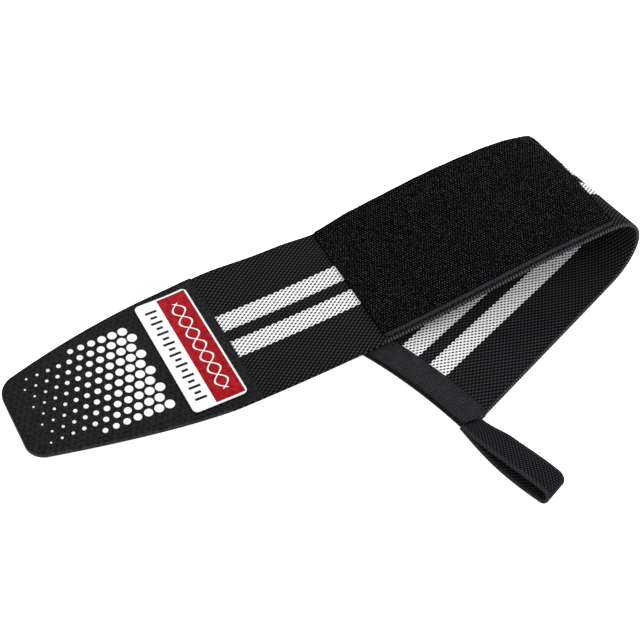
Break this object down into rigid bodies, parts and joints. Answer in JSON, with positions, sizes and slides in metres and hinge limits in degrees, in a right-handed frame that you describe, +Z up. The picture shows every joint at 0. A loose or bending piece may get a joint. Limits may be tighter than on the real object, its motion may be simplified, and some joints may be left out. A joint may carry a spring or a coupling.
{
  "type": "wrist wrap",
  "caption": "Folded elastic wrist wrap with a tapered hook tab, a loop pile patch, a bound end and a thumb loop.",
  "frame": {"origin": "centre of the whole outline, on the surface that the wrap lies on", "axes": "+X along the wrap from the tab's end towards the fold, +Y away from the side where the thumb loop sticks out, +Z up"},
  "size_m": [0.3196, 0.1788, 0.0345],
  "materials": {
    "elastic_band": "knitted elastic, black with two white stripes, matte",
    "tab_cover": "black synthetic leather with a fine grain, satin",
    "hook_patch": "black hook tape, matte",
    "label_patch": "welded label, red and white, satin",
    "loop_pile_patch": "black loop pile, very matte",
    "tape": "black ribbed webbing tape, matte"
  },
  "bodies": {
    "root": {"elastic_band": "elastic_band", "tab_cover": "tab_cover", "hook_patch": "hook_patch", "label_patch": "label_patch", "loop_pile_patch": "loop_pile_patch", "end_binding": "tape", "thumb_loop": "tape"}
  },
  "joints": []
}
